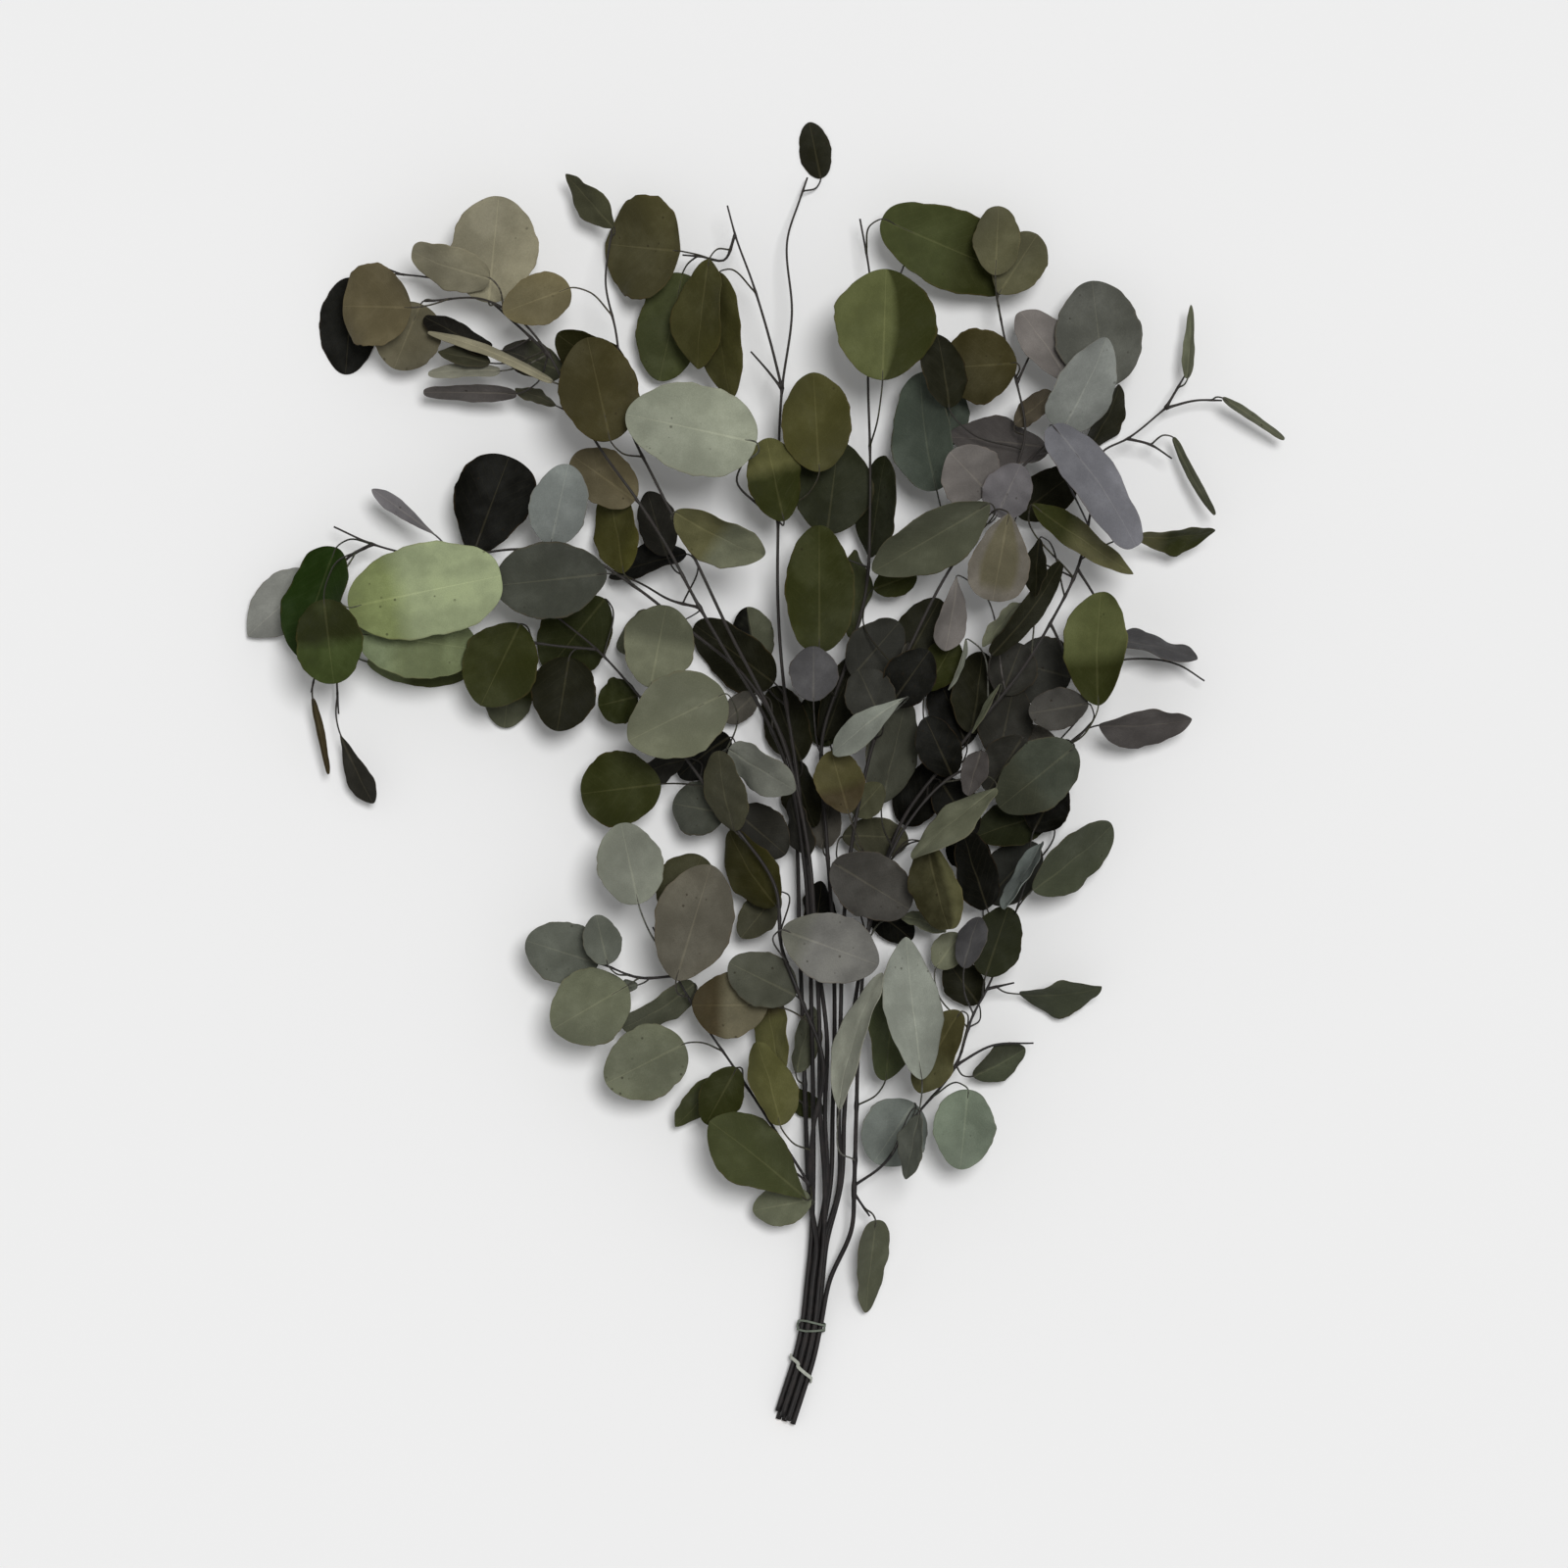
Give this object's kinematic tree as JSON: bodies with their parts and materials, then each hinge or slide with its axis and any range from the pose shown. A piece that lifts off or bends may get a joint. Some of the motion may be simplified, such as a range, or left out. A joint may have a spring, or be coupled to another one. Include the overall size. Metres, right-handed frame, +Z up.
{
  "type": "eucalyptus bunch",
  "caption": "Tied bunch of long leafy eucalyptus branches with round grey-green, olive and plum leaves, lying on a surface.",
  "frame": {"origin": "on the surface that the bunch lies on, under the middle of its outline", "axes": "+Y from the cut ends towards the leafy tips, +X to the right as seen from above, +Z up"},
  "size_m": [0.5336, 0.6708, 0.0896],
  "materials": {
    "leaf_sage": "matte",
    "leaf_green": "satin",
    "leaf_khaki": "satin",
    "leaf_olive": "satin",
    "leaf_plum": "matte",
    "stem_wood": "matte",
    "tie_elastic": "matte"
  },
  "bodies": {
    "root": {"branch_lower_left": "leaf_sage", "branch_left": "leaf_green", "branch_upper_left": "leaf_khaki", "branch_upper_left_inner": "leaf_khaki", "branch_top": "leaf_sage", "branch_top_right_inner": "leaf_olive", "branch_upper_right": "leaf_plum", "branch_right": "leaf_plum", "branch_lower_right": "leaf_olive", "tie_upper": "tie_elastic", "tie_lower": "tie_elastic"}
  },
  "joints": []
}
